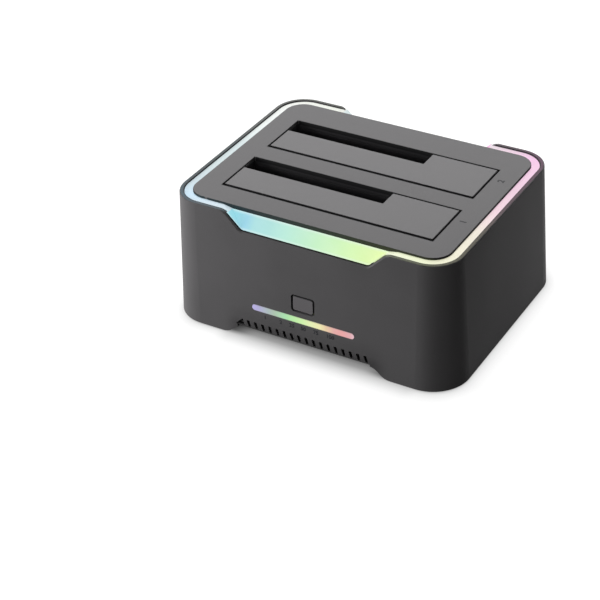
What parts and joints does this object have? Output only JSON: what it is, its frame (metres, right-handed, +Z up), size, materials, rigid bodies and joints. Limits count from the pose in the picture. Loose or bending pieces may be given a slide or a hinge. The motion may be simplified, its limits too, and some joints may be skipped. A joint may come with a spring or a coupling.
{
  "type": "drive duplicator",
  "caption": "Desktop drive dock and duplicator: two top-loading bays with L-shaped sprung flaps, lit ring round the lid, clone button, progress bar and rear sockets.",
  "frame": {"origin": "centre of the footprint on the plane of the rubber feet", "axes": "+X to the right along the long side and the bays, +Y to the rear sockets, +Z up; the front face with the button faces -Y"},
  "size_m": [0.1434, 0.113, 0.0626],
  "materials": {
    "housing": "fine matte moulded ABS, dark charcoal",
    "light_ring": "milky translucent light guide, lit in soft rainbow colours",
    "top_panel": "matte moulded ABS, mid grey",
    "bay_well_1": "black moulded ABS",
    "flap_1": "matte moulded ABS, mid grey",
    "flap_pin_1": "ground steel wire",
    "flap_spring_1": "spring wire",
    "sata_connector_1": "black glass-filled nylon",
    "sata_contacts_1": "gold-plated spring contacts",
    "bay_well_2": "black moulded ABS",
    "flap_2": "matte moulded ABS, mid grey",
    "flap_pin_2": "ground steel wire",
    "flap_spring_2": "spring wire",
    "sata_connector_2": "black glass-filled nylon",
    "sata_contacts_2": "gold-plated spring contacts",
    "main_board": "green solder mask on glass-epoxy board",
    "base_plate": "black moulded ABS",
    "base_screws": "black zinc steel",
    "board_screws": "zinc-plated steel",
    "rubber_feet": "soft black pads",
    "board_chips": "moulded black packages",
    "capacitors": "aluminium cans",
    "usb_port": "tin-plated shell",
    "usb_contacts": "blue insulator with contacts",
    "dc_jack": "black nylon",
    "dc_jack_pin": "nickel-plated",
    "switch_body": "black nylon",
    "switch_tabs": "tinned brass",
    "switch_rocker": "gloss black",
    "clone_button": "matte ABS, slightly lighter than the casing",
    "tact_plunger": "black nylon",
    "tact_switch": "tin-plated cover",
    "front_board": "green solder mask on glass-epoxy board",
    "led_board_screws": "zinc-plated steel",
    "status_leds": "surface-mounted lamps",
    "light_bar": "milky translucent light guide, lit violet to green to red",
    "rgb_strips_side": "white solder mask on glass-epoxy strip",
    "rgb_strips_end": "white solder mask on glass-epoxy strip",
    "rgb_leds": "surface-mounted lamps"
  },
  "bodies": {
    "dock": {"housing": "housing", "light_ring": "light_ring", "top_panel": "top_panel", "bay_well_1": "bay_well_1", "flap_pin_1": "flap_pin_1", "flap_spring_1": "flap_spring_1", "sata_connector_1": "sata_connector_1", "sata_contacts_1": "sata_contacts_1", "bay_well_2": "bay_well_2", "flap_pin_2": "flap_pin_2", "flap_spring_2": "flap_spring_2", "sata_connector_2": "sata_connector_2", "sata_contacts_2": "sata_contacts_2", "main_board": "main_board", "base_plate": "base_plate", "base_screws": "base_screws", "board_screws": "board_screws", "rubber_feet": "rubber_feet", "board_chips": "board_chips", "capacitors": "capacitors", "usb_port": "usb_port", "usb_contacts": "usb_contacts", "dc_jack": "dc_jack", "dc_jack_pin": "dc_jack_pin", "switch_body": "switch_body", "switch_tabs": "switch_tabs", "tact_switch": "tact_switch", "front_board": "front_board", "led_board_screws": "led_board_screws", "status_leds": "status_leds", "light_bar": "light_bar", "rgb_strips_side": "rgb_strips_side", "rgb_strips_end": "rgb_strips_end", "rgb_leds": "rgb_leds"},
    "flap_1": {"flap_1": "flap_1"},
    "flap_2": {"flap_2": "flap_2"},
    "clone_button": {"clone_button": "clone_button", "tact_plunger": "tact_plunger"},
    "power_rocker": {"switch_rocker": "switch_rocker"}
  },
  "joints": [
    {"name": "flap_1_hinge", "type": "hinge", "parent": "dock", "child": "flap_1", "pos_m": [0, -0.0379, 0.0598], "axis": [-1, 0, 0], "range_deg": [0, 90], "stiffness_Nm_per_rad": 0.006, "springref_deg": -28.65, "deforming": ["flap_spring_1"]},
    {"name": "flap_2_hinge", "type": "hinge", "parent": "dock", "child": "flap_2", "pos_m": [0, 0.00065, 0.0598], "axis": [-1, 0, 0], "range_deg": [0, 90], "stiffness_Nm_per_rad": 0.006, "springref_deg": -28.65, "deforming": ["flap_spring_2"]},
    {"name": "clone_button_press", "type": "slide", "parent": "dock", "child": "clone_button", "axis": [0, 1, 0], "range_m": [0, 0.0005], "stiffness_N_per_m": 400, "springref_m": -0.001},
    {"name": "power_rocker_tilt", "type": "hinge", "parent": "dock", "child": "power_rocker", "pos_m": [0.026, 0.0524, 0.021], "axis": [-1, 0, 0], "range_deg": [0, 16]}
  ]
}
